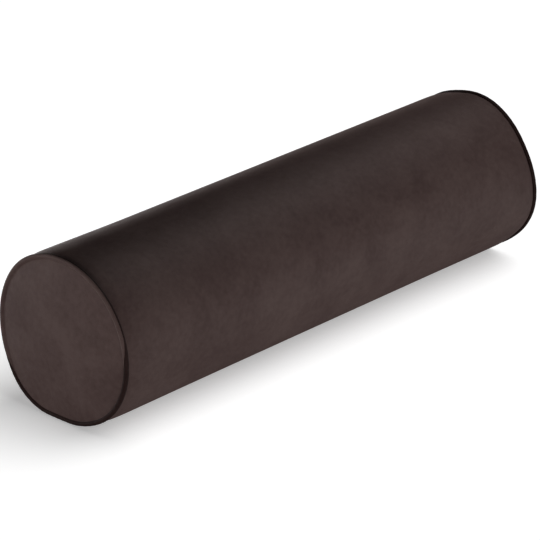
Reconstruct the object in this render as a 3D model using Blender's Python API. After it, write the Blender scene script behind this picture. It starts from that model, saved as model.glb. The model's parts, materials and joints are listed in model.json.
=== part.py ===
"""Bolster pillow: a foam roll in a liner, inside a zipped velvet cover with piped round ends.

Metres, +Z up. The roll lies along X on the plane z = 0 and its zip is on the back, the +Y side.
Every layer is placed by its depth below the outer face of the cover, so the layers follow one
another. An end is drawn in a half section of (reach, depth): reach is the distance from the middle
of the roll along X, and the end at -X is the mirror of the end at +X.
"""
import math

import bmesh
import bpy
from mathutils import Matrix, Vector

for old in list(bpy.data.objects):
    bpy.data.objects.remove(old, do_unlink=True)

# The roll
LENGTH = 0.711  # over both rings of piping
DIAMETER = 0.203
SAG = 0.002  # how far the soft roll settles on the strip it rests on
CROWN = 0.008  # how far an end panel domes out of its rim

# Its layers
COVER_THICK = 0.0012
LINER_THICK = 0.0006
WADDING_THICK = 0.010
CLEAR = 0.0003  # left between pieces that touch

# Piping and seams
CORD_DIAMETER = 0.004
STRIP_THICK = 0.0007
RIM_DROP = 0.0025  # from the outermost line of the piping in to the panel's edge
SEAM_ALLOWANCE = 0.006  # turned in behind the piping
LINER_HEM = 0.002  # straight edge of the liner's end before its bevel

# Zip
ZIP_HEIGHT_DEG = 17.0  # above level, seen along the roll
ZIP_LENGTH = 0.560
SLOT_HALF = 0.006  # half the gap between the cover's two folded edges
SLOT_MARGIN = 0.002  # of slot past the stops
TAPE_HALF = 0.015
TAPE_THICK = 0.0005
TAPE_TAIL = 0.018  # of tape past the slot, under the cover
HOLLOW_EASE = 0.007  # over which the liner sinks in to pass under the zip
COIL_WIDTH = 0.0027
COIL_HEIGHT = 0.0022
COIL_SPLIT = 0.001  # between the two halves
STOP_LENGTH = 0.003
SLIDER_LENGTH = 0.011
SLIDER_WALL = 0.001
SLIDER_PLATE = 0.001
SLIDER_END_GAP = 0.0005  # left to a stop at each end of the travel
POST_LENGTH = 0.003
BRIDGE_LENGTH = 0.007
BRIDGE_WIDTH = 0.0022
BRIDGE_BAR = 0.0009
BRIDGE_LEG = 0.0012
PULL_LENGTH = 0.024  # from its hinge to its tip
PULL_WIDTH = 0.006
PULL_THICK = 0.0012
PULL_PLAY = 0.0004  # round the pull's bar, and between its eye and the bridge
PULL_WAIST = 0.0044  # narrowest width of the tab
PULL_BEVEL = 0.0003

# What follows from them
RADIUS = DIAMETER / 2
AXIS_Z = RADIUS - SAG
CORD_RADIUS = CORD_DIAMETER / 2
STRIP_INNER = CORD_RADIUS + CLEAR
PIPING_RADIUS = STRIP_INNER + STRIP_THICK
PIPING_REACH = LENGTH / 2 - PIPING_RADIUS
RIM_REACH = PIPING_REACH + PIPING_RADIUS - RIM_DROP
HUG = PIPING_RADIUS + CLEAR  # the cover's outer face round the piping
WRAP = HUG + COVER_THICK  # and its inner face
RIM_RADIUS = RADIUS - PIPING_RADIUS - HUG
FLANGE_IN = CLEAR / 2
FLANGE_OUT = FLANGE_IN + STRIP_THICK
LEAF_IN = FLANGE_OUT + CLEAR
LEAF_OUT = LEAF_IN + COVER_THICK
SEAM_END = HUG + SEAM_ALLOWANCE
SEAM_TURN = math.radians(225)  # direction of the seam allowance, 45 degrees into the corner
ROOT2 = math.sqrt(2)

LINER_DEPTH = COVER_THICK + CLEAR
WADDING_DEPTH = LINER_DEPTH + LINER_THICK + CLEAR
FOAM_DEPTH = WADDING_DEPTH + WADDING_THICK + CLEAR
LINER_FACE = RIM_REACH - COVER_THICK - CLEAR
PAD_FACE = LINER_FACE - LINER_THICK - CLEAR
FOAM_REACH = PAD_FACE - WADDING_THICK - CLEAR
CORNER_DEPTH = 0.030  # past this depth the sections shrink evenly to the axis

ZIP_ANGLE = math.radians(ZIP_HEIGHT_DEG)
TAPE_DEPTH = COVER_THICK + CLEAR
COIL_DEPTH = TAPE_DEPTH - CLEAR
COIL_TOP = COIL_HEIGHT - COIL_DEPTH
COIL_HALF = COIL_SPLIT / 2 + COIL_WIDTH
CHAIN_END = ZIP_LENGTH / 2
SLOT_END = CHAIN_END + STOP_LENGTH + SLOT_MARGIN
TAPE_END = SLOT_END + TAPE_TAIL
HOLLOW_END = TAPE_END + HOLLOW_EASE
SLIDER_HALF = COIL_HALF + CLEAR + SLIDER_WALL
SLIDER_REST = CHAIN_END - SLIDER_END_GAP - SLIDER_LENGTH / 2
PLATE_UNDER = COIL_TOP + CLEAR
PLATE_TOP = PLATE_UNDER + SLIDER_PLATE
TAPE_BELOW = RADIUS - (RADIUS - TAPE_DEPTH - TAPE_THICK) * math.cos(SLOT_HALF / RADIUS)
KEEL_TOP = TAPE_BELOW + CLEAR  # depths of the slider's lower plate
KEEL_BOTTOM = KEEL_TOP + SLIDER_PLATE
ZIP_DIP = KEEL_BOTTOM + CLEAR - LINER_DEPTH
HINGE_HEIGHT = PLATE_TOP + PULL_PLAY + PULL_THICK / 2
BRIDGE_UNDER = HINGE_HEIGHT + PULL_THICK / 2 + PULL_PLAY

# Facets round the section
STEPS_BELOW_ZIP = 8
STEPS_OVER_TOP = 22
STEPS_ON_FLAT = 1
ARC_STEPS = 3
PIPING_STEPS = 8
DOME_STEPS = 4


def material(name, colour, roughness, metallic=0.0):
    """One Principled material."""
    made = bpy.data.materials.new(name)
    made.use_nodes = True
    shader = made.node_tree.nodes["Principled BSDF"]
    shader.inputs["Base Color"].default_value = (*colour, 1.0)
    shader.inputs["Roughness"].default_value = roughness
    shader.inputs["Metallic"].default_value = metallic
    return made


VELVET = material("velvet_brown", (0.055, 0.034, 0.029), 0.85)
VELVET_TRIM = material("velvet_trim_brown", (0.045, 0.027, 0.024), 0.85)
COTTON = material("cotton_cord", (0.72, 0.68, 0.60), 0.9)
LINER = material("liner_cotton", (0.80, 0.78, 0.74), 0.9)
WADDING = material("polyester_wadding", (0.88, 0.88, 0.86), 0.95)
FOAM = material("foam_cream", (0.78, 0.70, 0.50), 0.9)
TAPE = material("zip_tape_brown", (0.05, 0.032, 0.028), 0.8)
COIL = material("zip_coil_brown", (0.045, 0.03, 0.026), 0.45)
NICKEL = material("nickel_plate", (0.62, 0.60, 0.57), 0.3, 1.0)


def finished(name, mesh_data, look, smooth_deg=30.0):
    """Turn a bmesh into a named object with faces pointing out and smooth round parts."""
    bmesh.ops.recalc_face_normals(mesh_data, faces=mesh_data.faces)
    mesh = bpy.data.meshes.new(name)
    mesh_data.to_mesh(mesh)
    mesh_data.free()
    mesh.shade_smooth()
    mesh.set_sharp_from_angle(angle=math.radians(smooth_deg))
    mesh.materials.append(look)
    made = bpy.data.objects.new(name, mesh)
    bpy.context.collection.objects.link(made)
    return made


# Sections of the roll
def spread(start, end, steps):
    """Even values from start up to, but not including, end."""
    return [start + (end - start) * i / steps for i in range(steps)]


def zip_turn(along):
    """Angle of a point this far round the roll from the zip's centre line."""
    return ZIP_ANGLE + along / RADIUS


HOLLOW_EDGE = TAPE_HALF + HOLLOW_EASE
ZIP_STATIONS = [-HOLLOW_EDGE, -TAPE_HALF, -SLOT_HALF, SLOT_HALF, TAPE_HALF]
FIRST_ZIP_STATION = STEPS_BELOW_ZIP
SLOT_STATION = FIRST_ZIP_STATION + 2
DIPPED = range(FIRST_ZIP_STATION + 1, FIRST_ZIP_STATION + 5)


def section(depth):
    """(y, z) points of one layer: most of a circle, and a flat where the roll rests."""
    radius = RADIUS - depth
    foot = -math.asin((AXIS_Z - depth) / radius)
    turns = spread(foot, zip_turn(-HOLLOW_EDGE), STEPS_BELOW_ZIP)
    turns += [zip_turn(along) for along in ZIP_STATIONS]
    turns += spread(zip_turn(HOLLOW_EDGE), math.pi - foot, STEPS_OVER_TOP)
    points = [(radius * math.cos(turn), AXIS_Z + radius * math.sin(turn)) for turn in turns]
    half_flat = radius * math.cos(foot)
    return points + [(y, depth) for y in spread(-half_flat, half_flat, STEPS_ON_FLAT)]


def ring(x, depth, dip=0.0):
    """Points round the roll at x, sunk by dip where the zip passes over them."""
    if depth > CORNER_DEPTH:
        share = (RADIUS - depth) / (RADIUS - CORNER_DEPTH)
        corner = section(CORNER_DEPTH)
        return [Vector((x, y * share, AXIS_Z + (z - AXIS_Z) * share)) for y, z in corner]
    points = [Vector((x, y, z)) for y, z in section(depth)]
    if dip:
        sunk = section(depth + dip)
        for k in DIPPED:
            points[k] = Vector((x, *sunk[k]))
    return points


def sweep(name, profile, look, slot=None):
    """Carry a profile of (x, depth, dip) points round the roll.

    A profile that starts on the axis ends on it too, and any other profile is a closed loop. slot
    names the outer and the inner step of the profile that a slot cuts away at the zip.
    """
    mesh_data = bmesh.new()
    rings = []
    for x, depth, *dip in profile:
        on_axis = depth >= RADIUS
        points = [Vector((x, 0.0, AXIS_Z))] if on_axis else ring(x, depth, *dip)
        rings.append([mesh_data.verts.new(point) for point in points])
    count = max(len(made) for made in rings)
    open_ended = len(rings[0]) == 1
    for j in range(len(rings) - open_ended):
        here = rings[j]
        there = rings[(j + 1) % len(rings)]
        for k in range(count):
            if slot and j in slot and k == SLOT_STATION:
                continue
            corners = [here[k % len(here)], here[(k + 1) % len(here)]]
            corners += [there[(k + 1) % len(there)], there[k % len(there)]]
            add_face(mesh_data, corners)
    if slot:
        wall_slot(mesh_data, rings, slot)
    return finished(name, mesh_data, look)


def add_face(mesh_data, corners):
    """Add a facet, split so that the facets of neighbouring layers run parallel."""
    corners = list(dict.fromkeys(corners))
    if len(corners) < 4:
        mesh_data.faces.new(corners)
        return
    if corners[0].co.x > corners[3].co.x:
        corners = corners[::-1]
    a, b, c, d = corners
    mesh_data.faces.new([a, b, c])
    mesh_data.faces.new([a, c, d])


def wall_slot(mesh_data, rings, slot):
    """Close the cut edges of a slot between the outer and the inner face."""
    outer, inner = slot
    a = SLOT_STATION
    b = a + 1
    for top, low in ((outer, inner + 1), (outer + 1, inner)):
        mesh_data.faces.new([rings[top][a], rings[top][b], rings[low][b], rings[low][a]])
    for k in (a, b):
        corners = [rings[outer][k], rings[outer + 1][k], rings[inner][k], rings[inner + 1][k]]
        mesh_data.faces.new(corners)


def at_end(profile, side):
    """Place a half section of (reach, depth) points at the +X end or the -X end."""
    return [(side * reach, depth) for reach, depth in profile]


# The corner of an end, in its half section
def crown(radius):
    """How far a panel stands out of its rim at this radius, straight between its facets."""
    place = DOME_STEPS * min(radius / RIM_RADIUS, 1.0)
    step = min(int(place), DOME_STEPS - 1)
    low, high = (CROWN * (1.0 - (i / DOME_STEPS) ** 2) for i in (step, step + 1))
    return low + (high - low) * (place - step)


def dome(face, rim):
    """Points of a crowned face from the axis out to the radius rim."""
    facets = [RIM_RADIUS * i / DOME_STEPS for i in range(DOME_STEPS)]
    radii = [radius for radius in facets if radius < rim] + [rim]
    return [(face + crown(radius), RADIUS - radius) for radius in radii]


def round_piping(radius, start, end, steps=ARC_STEPS):
    """Arc about the piping's centre, from one angle to another in radians."""
    turns = spread(start, end, steps) + [end]
    return [
        (PIPING_REACH + radius * math.cos(turn), PIPING_RADIUS - radius * math.sin(turn))
        for turn in turns
    ]


def seam_point(along, aside):
    """Point of the seam allowance: along it from the piping's centre, and aside to the tube."""
    reach = PIPING_REACH - (along + aside) / ROOT2
    return reach, PIPING_RADIUS + (along - aside) / ROOT2


def tube_edge():
    """Half section of the tube's edge: round the piping, down its allowance and back."""
    outer = math.pi - math.asin(PIPING_RADIUS / HUG)
    inner = math.pi - math.asin((PIPING_RADIUS - COVER_THICK) / WRAP)
    points = round_piping(HUG, outer, SEAM_TURN - math.asin(LEAF_IN / HUG))
    points += [seam_point(SEAM_END, LEAF_IN), seam_point(SEAM_END, LEAF_OUT)]
    return points + round_piping(WRAP, SEAM_TURN - math.asin(LEAF_OUT / WRAP), inner)


def panel_section():
    """Half section of an end panel: its crowned face, its turned allowance and its back."""
    step = RIM_REACH - PIPING_REACH
    outer = 2 * math.pi - math.acos(step / HUG)
    inner = 2 * math.pi - math.acos((step - COVER_THICK) / WRAP)
    points = dome(RIM_REACH, RIM_RADIUS)[:-1]
    points += round_piping(HUG, outer, SEAM_TURN + math.asin(LEAF_IN / HUG), 2)
    points += [seam_point(SEAM_END, -LEAF_IN), seam_point(SEAM_END, -LEAF_OUT)]
    points += round_piping(WRAP, SEAM_TURN + math.asin(LEAF_OUT / WRAP), inner, 1)
    return points + dome(RIM_REACH - COVER_THICK, RIM_RADIUS)[-2::-1]


def strip_section():
    """Half section of the bias strip: round the cord, with both edges in the seam."""
    turn = 2 * math.pi
    outer = math.asin(FLANGE_OUT / PIPING_RADIUS)
    inner = math.asin(FLANGE_IN / STRIP_INNER)
    points = [seam_point(SEAM_END, -FLANGE_OUT)]
    points += round_piping(PIPING_RADIUS, SEAM_TURN + outer, SEAM_TURN + turn - outer, PIPING_STEPS)
    points += [seam_point(SEAM_END, FLANGE_OUT), seam_point(SEAM_END, FLANGE_IN)]
    points += round_piping(STRIP_INNER, SEAM_TURN + turn - inner, SEAM_TURN + inner, PIPING_STEPS)
    return points + [seam_point(SEAM_END, -FLANGE_IN)]


def cord_section():
    """Half section of the cord."""
    return round_piping(CORD_RADIUS, 0.0, 2 * math.pi, PIPING_STEPS)[:-1]


def bevel_reach(depth, inset):
    """Reach of the filling's bevelled corner at a depth; it clears the seam allowances."""
    return PIPING_REACH - (SEAM_END + CLEAR + inset) * ROOT2 + depth - PIPING_RADIUS


def bevel_meets(face, inset):
    """Radius where a crowned face meets that corner, found by halving."""
    low, high = 0.0, RIM_RADIUS
    for _ in range(40):
        middle = (low + high) / 2
        corner = bevel_reach(RADIUS - middle, inset)
        if corner > face + crown(middle):
            low = middle
        else:
            high = middle
    return low


# Cover and piping
def add_cover_tube():
    """The tube of the cover, with both edges turned in and a slot for the zip."""
    edge = tube_edge()
    outer = [(-SLOT_END, 0.0), (SLOT_END, 0.0)]
    inner = [(SLOT_END, COVER_THICK), (-SLOT_END, COVER_THICK)]
    right = at_end(edge, 1)
    left = at_end(edge[::-1], -1)
    slot = (0, 2 + len(right))
    sweep("cover_tube", outer + right + inner + left, VELVET, slot)


def add_end(side, word):
    """One end: panel, piping, and the liner and wadding behind the panel."""
    sweep(f"cover_{word}_end", at_end(panel_section(), side), VELVET)
    sweep(f"{word}_piping_strip", at_end(strip_section(), side), VELVET_TRIM)
    sweep(f"{word}_piping_cord", at_end(cord_section(), side), COTTON)
    sweep(f"liner_{word}_end", at_end(liner_end_section(), side), LINER)
    sweep(f"{word}_wadding_pad", at_end(pad_section(), side), WADDING)


# Liner and filling
def liner_edge():
    """Reach of the seam between the liner's sleeve and its end."""
    return bevel_reach(LINER_DEPTH + LINER_THICK, LINER_THICK) - LINER_HEM


def liner_end_section():
    """Half section of the liner's end: crowned, bevelled at the corner, thin."""
    back = LINER_FACE - LINER_THICK
    under = LINER_DEPTH + LINER_THICK
    points = dome(LINER_FACE, bevel_meets(LINER_FACE, 0.0))
    points += [(bevel_reach(LINER_DEPTH, 0.0), LINER_DEPTH), (liner_edge(), LINER_DEPTH)]
    points += [(liner_edge(), under), (bevel_reach(under, LINER_THICK), under)]
    return points + dome(back, bevel_meets(back, LINER_THICK))[::-1]


def pad_section():
    """Half section of the wadding disc that crowns an end."""
    inset = LINER_THICK + CLEAR
    back = FOAM_REACH + CLEAR
    heel = PIPING_RADIUS + back - PIPING_REACH + (SEAM_END + CLEAR + inset) * ROOT2
    return dome(PAD_FACE, bevel_meets(PAD_FACE, inset)) + [(back, heel), (back, RADIUS)]


def add_liner_sleeve():
    """The liner's sleeve, which sinks in under the zip."""
    end = liner_edge() - CLEAR
    under = LINER_DEPTH + LINER_THICK
    outer = dipped_path(LINER_DEPTH, end)
    inner = dipped_path(under, end)[::-1]
    sweep("liner_sleeve", outer + inner, LINER)


def dipped_path(depth, end):
    """Path along the roll at a depth, sunk in between the ends of the zip's tape."""
    return [
        (-end, depth),
        (-HOLLOW_END, depth),
        (-TAPE_END, depth, ZIP_DIP),
        (TAPE_END, depth, ZIP_DIP),
        (HOLLOW_END, depth),
        (end, depth),
    ]


def add_wadding_wrap():
    """Wadding rolled round the core, bevelled at its ends like the liner."""
    inset = LINER_THICK + CLEAR
    shoulder = bevel_reach(WADDING_DEPTH, inset)
    heel = PIPING_RADIUS + FOAM_REACH - PIPING_REACH + (SEAM_END + CLEAR + inset) * ROOT2
    bottom = WADDING_DEPTH + WADDING_THICK
    outer = dipped_path(WADDING_DEPTH, shoulder)
    ends = [(FOAM_REACH, heel), (FOAM_REACH, bottom), (-FOAM_REACH, bottom), (-FOAM_REACH, heel)]
    sweep("wadding_wrap", outer + ends, WADDING)


def add_foam_core():
    """The firm foam cylinder."""
    profile = [(-FOAM_REACH, RADIUS), (-FOAM_REACH, FOAM_DEPTH)]
    profile += [(FOAM_REACH, FOAM_DEPTH), (FOAM_REACH, RADIUS)]
    sweep("foam_core", profile, FOAM)


# Zip
def add_strip(name, start, end, stations, top, bottom, look):
    """A strip along the zip between two depths, at stations round the roll from its centre."""
    mesh_data = bmesh.new()
    path = [(along, top) for along in stations] + [(along, bottom) for along in stations[::-1]]
    loops = []
    for x in (start, end):
        loop = []
        for along, depth in path:
            turn = zip_turn(along)
            y = (RADIUS - depth) * math.cos(turn)
            z = AXIS_Z + (RADIUS - depth) * math.sin(turn)
            loop.append(mesh_data.verts.new((x, y, z)))
        loops.append(loop)
    first, last = loops
    for k in range(len(path)):
        n = (k + 1) % len(path)
        mesh_data.faces.new([first[k], first[n], last[n], last[k]])
    split = len(stations)
    for k in range(split - 1):
        for loop in loops:
            pair = [loop[k], loop[k + 1], loop[2 * split - 2 - k], loop[2 * split - 1 - k]]
            mesh_data.faces.new(pair)
    return finished(name, mesh_data, look)


def add_chain():
    """Both tapes, both coil halves and the stops."""
    inner = COIL_SPLIT / 2
    for side, word in ((1, "upper"), (-1, "lower")):
        tape = [side * along for along in (inner, SLOT_HALF, TAPE_HALF)]
        coil = [side * along for along in (inner, COIL_HALF)]
        tape_bottom = TAPE_DEPTH + TAPE_THICK
        add_strip(f"zip_tape_{word}", -TAPE_END, TAPE_END, tape, TAPE_DEPTH, tape_bottom, TAPE)
        coil_end = CHAIN_END - CLEAR
        add_strip(f"zip_coil_{word}", -CHAIN_END, coil_end, coil, -COIL_TOP, COIL_DEPTH, COIL)
        stop_end = CHAIN_END + STOP_LENGTH
        top_stop = f"zip_top_stop_{word}"
        add_strip(top_stop, CHAIN_END, stop_end, coil, -COIL_TOP, COIL_DEPTH, NICKEL)
    across = [-COIL_HALF, COIL_HALF]
    near = -CHAIN_END - CLEAR
    add_strip("zip_bottom_stop", near - STOP_LENGTH, near, across, -COIL_TOP, COIL_DEPTH, NICKEL)


def zip_frame(x, height):
    """Frame on the zip's centre line: X along it, Y across it and Z out of the cover."""
    out = Vector((0.0, math.cos(ZIP_ANGLE), math.sin(ZIP_ANGLE)))
    across = out.cross(Vector((1.0, 0.0, 0.0)))
    base = Vector((x, 0.0, AXIS_Z)) + out * (RADIUS + height)
    axes = Matrix((Vector((1.0, 0.0, 0.0)), across, out)).transposed()
    return Matrix.Translation(base) @ axes.to_4x4()


def block(name, low, high, frame, look):
    """A box between two corners, in a frame."""
    mesh_data = bmesh.new()
    bmesh.ops.create_cube(mesh_data, size=1.0)
    size = [b - a for a, b in zip(low, high)]
    middle = [(a + b) / 2 for a, b in zip(low, high)]
    bmesh.ops.scale(mesh_data, vec=size, verts=mesh_data.verts)
    bmesh.ops.translate(mesh_data, vec=middle, verts=mesh_data.verts)
    made = finished(name, mesh_data, look)
    made.matrix_world = frame
    return made


def combine(target, other, operation):
    """Join another object to the target, or cut it out, and keep the other out of the model."""
    change = target.modifiers.new(operation.lower(), "BOOLEAN")
    change.operation = operation
    change.solver = "EXACT"
    change.object = other
    other.hide_render = True
    other.display_type = "WIRE"


def bevel(target, width):
    """Break the edges of an object."""
    change = target.modifiers.new("broken_edges", "BEVEL")
    change.width = width
    change.segments = 1
    change.limit_method = "ANGLE"


def add_slider():
    """The slider: two plates, side walls, the post between them and the pull's bridge."""
    frame = zip_frame(SLIDER_REST, 0.0)
    length = SLIDER_LENGTH / 2
    wide = SLIDER_HALF
    slider = block(
        "zip_slider", (-length, -wide, PLATE_UNDER), (length, wide, PLATE_TOP), frame, NICKEL
    )
    wall_low = CLEAR - TAPE_DEPTH
    lap = SLIDER_PLATE / 2
    post_half = COIL_SPLIT / 2 - CLEAR
    post_start = length - POST_LENGTH
    keel_wide = SLIDER_HALF - SLIDER_WALL
    parts = [
        ((-length, -wide, wall_low), (length, SLIDER_WALL - wide, PLATE_UNDER + lap)),
        ((-length, wide - SLIDER_WALL, wall_low), (length, wide, PLATE_UNDER + lap)),
        ((post_start, -post_half, -KEEL_TOP - lap), (length - lap, post_half, PLATE_UNDER + lap)),
        ((-length, -keel_wide, -KEEL_BOTTOM), (length, keel_wide, -KEEL_TOP)),
    ]
    bridge = BRIDGE_LENGTH / 2
    half = BRIDGE_WIDTH / 2
    top = BRIDGE_UNDER + BRIDGE_BAR
    leg_top = BRIDGE_UNDER + BRIDGE_BAR / 2
    parts += [
        ((-bridge, -half, BRIDGE_UNDER), (bridge, half, top)),
        ((-bridge, -half, PLATE_TOP - lap), (BRIDGE_LEG - bridge, half, leg_top)),
        ((bridge - BRIDGE_LEG, -half, PLATE_TOP - lap), (bridge, half, leg_top)),
    ]
    for i, (low, high) in enumerate(parts):
        combine(slider, block(f"slider_part_{i}", low, high, frame, NICKEL), "UNION")


def pull_outline():
    """Half outline of the pull from its hinge end to its tip, as (x, half width)."""
    eye = PULL_WIDTH / 2
    waist = PULL_WAIST / 2
    heel = PULL_THICK / 2
    return [
        (heel, eye * 0.8),
        (0.0, eye),
        (-PULL_LENGTH * 0.24, eye),
        (-PULL_LENGTH * 0.36, waist),
        (-PULL_LENGTH * 0.62, waist),
        (-PULL_LENGTH * 0.80, eye),
        (-PULL_LENGTH * 0.95, eye * 0.85),
        (-PULL_LENGTH, eye * 0.5),
    ]


def add_pull():
    """The pull: a flat tab whose eye holds a bar under the slider's bridge."""
    frame = zip_frame(SLIDER_REST, HINGE_HEIGHT)
    half = pull_outline()
    outline = half + [(x, -y) for x, y in reversed(half)]
    mesh_data = bmesh.new()
    low = [mesh_data.verts.new((x, y, -PULL_THICK / 2)) for x, y in outline]
    face = mesh_data.faces.new(low)
    raised = bmesh.ops.extrude_face_region(mesh_data, geom=[face])
    tops = [item for item in raised["geom"] if isinstance(item, bmesh.types.BMVert)]
    bmesh.ops.translate(mesh_data, vec=(0.0, 0.0, PULL_THICK), verts=tops)
    pull = finished("zip_pull", mesh_data, NICKEL)
    pull.matrix_world = frame
    swing = math.hypot(BRIDGE_LENGTH / 2, BRIDGE_UNDER + BRIDGE_BAR - HINGE_HEIGHT) + PULL_PLAY
    eye_half = BRIDGE_WIDTH / 2 + PULL_PLAY
    near = (-swing, -eye_half, -PULL_THICK)
    far = (-PULL_THICK / 2, eye_half, PULL_THICK)
    combine(pull, block("pull_eye", near, far, frame, NICKEL), "DIFFERENCE")
    bevel(pull, PULL_BEVEL)


add_cover_tube()
add_end(-1, "left")
add_end(1, "right")
add_liner_sleeve()
add_wadding_wrap()
add_foam_core()
add_chain()
add_slider()
add_pull()
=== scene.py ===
import json
import math

import bmesh
import bpy
import numpy as np
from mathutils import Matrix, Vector
from mathutils.bvhtree import BVHTree

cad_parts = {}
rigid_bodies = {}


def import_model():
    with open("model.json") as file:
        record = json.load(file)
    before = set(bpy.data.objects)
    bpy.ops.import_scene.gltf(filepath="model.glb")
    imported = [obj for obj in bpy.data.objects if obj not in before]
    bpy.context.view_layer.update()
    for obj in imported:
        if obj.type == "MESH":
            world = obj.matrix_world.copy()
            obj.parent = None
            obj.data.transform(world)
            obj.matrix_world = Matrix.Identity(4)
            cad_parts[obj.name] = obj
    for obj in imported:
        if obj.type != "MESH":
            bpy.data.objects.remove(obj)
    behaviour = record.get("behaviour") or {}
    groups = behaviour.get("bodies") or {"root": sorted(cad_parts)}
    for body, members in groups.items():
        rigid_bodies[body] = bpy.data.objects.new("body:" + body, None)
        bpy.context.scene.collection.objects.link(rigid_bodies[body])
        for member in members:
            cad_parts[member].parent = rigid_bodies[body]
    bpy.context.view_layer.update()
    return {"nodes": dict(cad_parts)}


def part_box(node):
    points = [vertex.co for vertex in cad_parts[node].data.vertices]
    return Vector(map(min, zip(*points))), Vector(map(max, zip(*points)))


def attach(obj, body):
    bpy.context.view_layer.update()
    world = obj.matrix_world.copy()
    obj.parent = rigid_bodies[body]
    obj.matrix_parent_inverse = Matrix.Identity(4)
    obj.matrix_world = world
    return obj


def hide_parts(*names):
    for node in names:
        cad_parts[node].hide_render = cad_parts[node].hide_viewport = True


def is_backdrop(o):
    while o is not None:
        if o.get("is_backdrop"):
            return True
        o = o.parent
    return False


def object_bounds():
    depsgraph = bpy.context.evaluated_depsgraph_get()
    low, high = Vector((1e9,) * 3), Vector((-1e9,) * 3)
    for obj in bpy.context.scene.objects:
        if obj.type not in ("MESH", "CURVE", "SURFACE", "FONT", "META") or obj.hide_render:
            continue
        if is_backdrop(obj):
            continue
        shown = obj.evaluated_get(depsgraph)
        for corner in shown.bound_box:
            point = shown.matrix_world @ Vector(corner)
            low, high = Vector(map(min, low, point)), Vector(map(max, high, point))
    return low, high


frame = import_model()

# Foam core. A firm cylinder of open-cell polyurethane foam, cut square at both ends, which gives
# the roll its shape and its weight. It keeps the frame's own solid.


def srgb(code):
    """Linear colour of an sRGB hex code."""
    parts = [int(code[i:i + 2], 16) / 255 for i in (1, 3, 5)]
    return tuple(p / 12.92 if p <= 0.04045 else ((p + 0.055) / 1.055) ** 2.4 for p in parts) + (1.0,)


def node(tree, kind, settings=None, **links):
    """Add a node. Settings name its properties and sockets, or number its sockets. Links name what
    feeds its sockets, with _ for a space, or _ and a number for a socket without a name of its own."""
    made = tree.nodes.new(kind)
    for key, value in (settings or {}).items():
        if isinstance(key, int) or key in made.inputs:
            made.inputs[key].default_value = value
        else:
            setattr(made, key, value)
    for key, source in links.items():
        name = int(key[1:]) if key[1:].isdigit() else key.replace("_", " ")
        tree.links.new(source, made.inputs[name])
    return made


def new_material(name):
    """An empty material, with its node tree."""
    made = bpy.data.materials.new(name)
    made.use_nodes = True
    made.node_tree.nodes.clear()
    return made, made.node_tree


def dress(material, *names):
    """Give a material to solids of the frame."""
    for name in names:
        slots = frame["nodes"][name].data.materials
        slots.clear()
        slots.append(material)


# Polyurethane foam, cut by hot wire: pale, quite matt, with open cells 1.1 mm across.
foam, tree = new_material("cut_polyurethane_foam")
place = node(tree, "ShaderNodeTexCoord").outputs["Object"]
cells = node(tree, "ShaderNodeTexVoronoi", {"Scale": 900.0}, Vector=place).outputs["Distance"]
tones = {"data_type": "RGBA", 6: srgb("#c9b98e"), 7: srgb("#e6d9b6")}
colour = node(tree, "ShaderNodeMix", tones, _0=cells).outputs[2]
relief = node(tree, "ShaderNodeBump", {"Strength": 0.6, "Distance": 0.0005}, Height=cells).outputs[0]
finish = {"Roughness": 0.95}
shader = node(tree, "ShaderNodeBsdfPrincipled", finish, Base_Color=colour, Normal=relief)
node(tree, "ShaderNodeOutputMaterial", Surface=shader.outputs[0])
dress(foam, "foam_core")

# Wadding. A soft polyester sheet rolled once round the core, and a loose disc of it at each end,
# which round the hard edges of the foam off. Both keep the frame's solids.

# Polyester wadding, carded and lightly bonded: white, with fibres in drifts about 4 mm long.
wadding, tree = new_material("bonded_polyester_wadding")
place = node(tree, "ShaderNodeTexCoord").outputs["Object"]
drift = {"Scale": 260.0, "Detail": 4.0, "Distortion": 2.5}
fibres = node(tree, "ShaderNodeTexNoise", drift, Vector=place).outputs[0]
tones = {"data_type": "RGBA", 6: srgb("#d8d8d4"), 7: srgb("#f4f4f0")}
colour = node(tree, "ShaderNodeMix", tones, _0=fibres).outputs[2]
relief = node(tree, "ShaderNodeBump", {"Strength": 0.7, "Distance": 0.001}, Height=fibres).outputs[0]
finish = {"Roughness": 1.0, "Sheen Weight": 0.3}
shader = node(tree, "ShaderNodeBsdfPrincipled", finish, Base_Color=colour, Normal=relief)
node(tree, "ShaderNodeOutputMaterial", Surface=shader.outputs[0])
dress(wadding, "wadding_wrap", "left_wadding_pad", "right_wadding_pad")

# Liner. A thin sewn case of unbleached polycotton that holds core and wadding together when the
# cover comes off for washing. It keeps the frame's solids, sleeve and two ends.

# Plain-woven polycotton, washed soft: off-white, with threads 0.5 mm apart.
liner, tree = new_material("plain_woven_polycotton")
place = node(tree, "ShaderNodeTexCoord").outputs["Object"]
warp = node(tree, "ShaderNodeTexWave", {"Scale": 628.0, "bands_direction": "X"}, Vector=place).outputs[1]
weft = node(tree, "ShaderNodeTexWave", {"Scale": 628.0, "bands_direction": "Z"}, Vector=place).outputs[1]
weave = node(tree, "ShaderNodeMath", {"operation": "MULTIPLY"}, _0=warp, _1=weft).outputs[0]
tones = {"data_type": "RGBA", 6: srgb("#d9d2c2"), 7: srgb("#ece6d8")}
colour = node(tree, "ShaderNodeMix", tones, _0=weave).outputs[2]
relief = node(tree, "ShaderNodeBump", {"Strength": 0.4, "Distance": 0.0002}, Height=weave).outputs[0]
finish = {"Roughness": 0.9}
shader = node(tree, "ShaderNodeBsdfPrincipled", finish, Base_Color=colour, Normal=relief)
node(tree, "ShaderNodeOutputMaterial", Surface=shader.outputs[0])
dress(liner, "liner_sleeve", "liner_left_end", "liner_right_end")

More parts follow.
